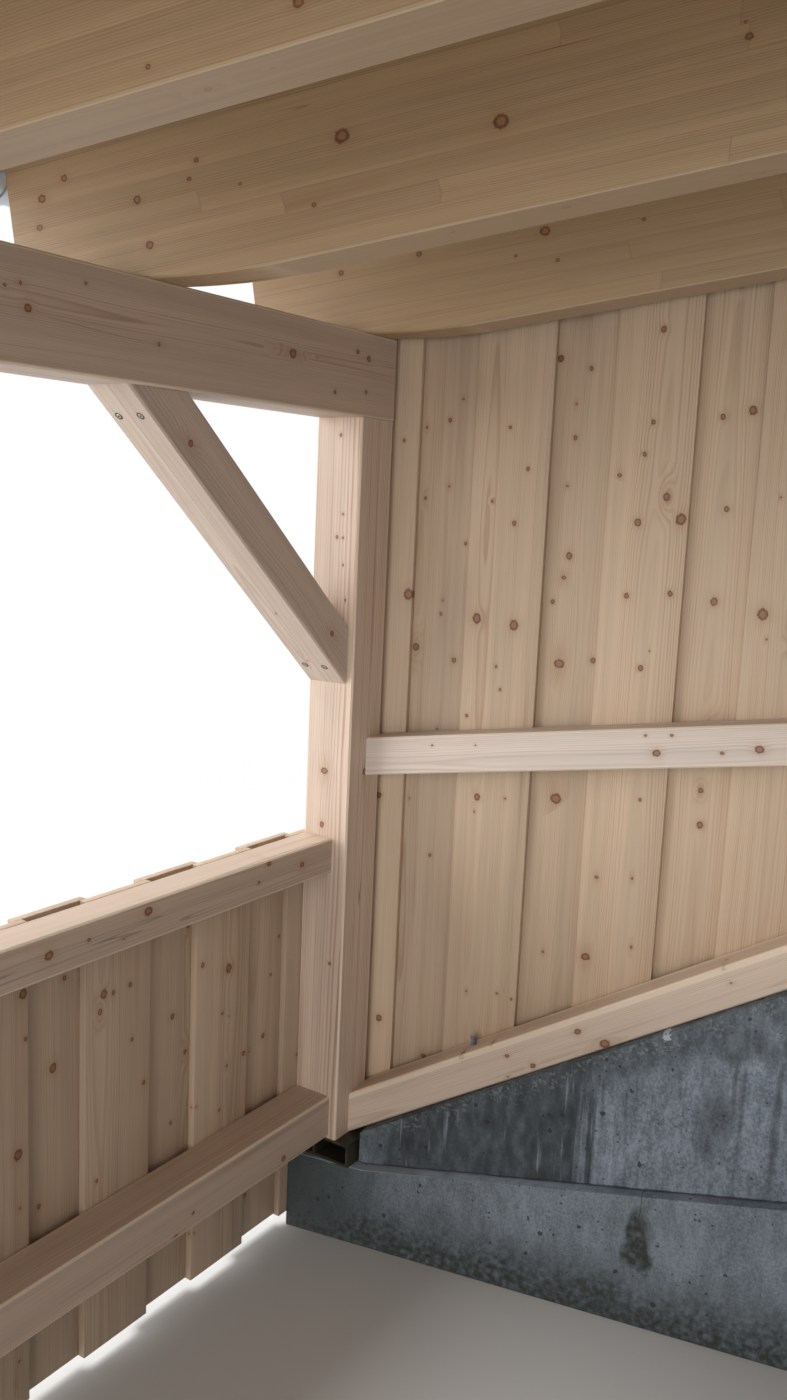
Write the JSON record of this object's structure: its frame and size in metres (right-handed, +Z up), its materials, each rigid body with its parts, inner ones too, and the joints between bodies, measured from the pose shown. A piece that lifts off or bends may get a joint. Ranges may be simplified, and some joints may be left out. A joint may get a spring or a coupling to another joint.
{
  "type": "carport",
  "caption": "Timber carport with a pent roof on glulam rafters, a board-clad side wall on a concrete wall with a sloping top, and a parapet below the open street side.",
  "frame": {"origin": "middle of the carport's bounding box, at the level it stands on", "axes": "+Y towards the street and its parapet, +X along the street towards the boarded side wall, +Z up; the side wall and the rafters run back from the street 11 degrees off -Y, towards +X; open at -X and -Y"},
  "size_m": [4.6662, 5.5852, 3.5736],
  "materials": {
    "concrete": "matte",
    "structural_timber": "matte",
    "glulam": "matte",
    "boards": "matte",
    "deck": "matte",
    "shoe_steel": "matte",
    "zinc": "satin",
    "roof_sheet": "satin"
  },
  "bodies": {
    "root": {"concrete_lower_lift": "concrete", "concrete_upper_lift": "concrete", "pier_front_left": "concrete", "pier_rear_left": "concrete", "post_front_right": "structural_timber", "post_front_left": "structural_timber", "post_rear_right": "structural_timber", "post_rear_left": "structural_timber", "plate_front": "structural_timber", "plate_rear": "structural_timber", "brace_front_right": "structural_timber", "brace_front_left": "structural_timber", "brace_rear_right": "structural_timber", "brace_rear_left": "structural_timber", "parapet_sill": "structural_timber", "parapet_bottom_rail": "structural_timber", "side_mid_rail": "structural_timber", "side_bottom_rail_sloped": "structural_timber", "side_bottom_rail_level": "structural_timber", "side_top_batten": "structural_timber", "rafter_1": "glulam", "rafter_2": "glulam", "rafter_3": "glulam", "rafter_4": "glulam", "rafter_5": "glulam", "parapet_inner_boards": "boards", "parapet_outer_boards": "boards", "side_inner_boards": "boards", "side_outer_boards": "boards", "verge_left": "boards", "verge_right": "boards", "roof_deck": "deck", "post_base_front_right": "shoe_steel", "post_base_front_left": "shoe_steel", "post_base_rear_right": "shoe_steel", "post_base_rear_left": "shoe_steel", "gutter": "zinc", "gutter_brackets": "zinc", "roof_covering": "roof_sheet"}
  },
  "joints": []
}
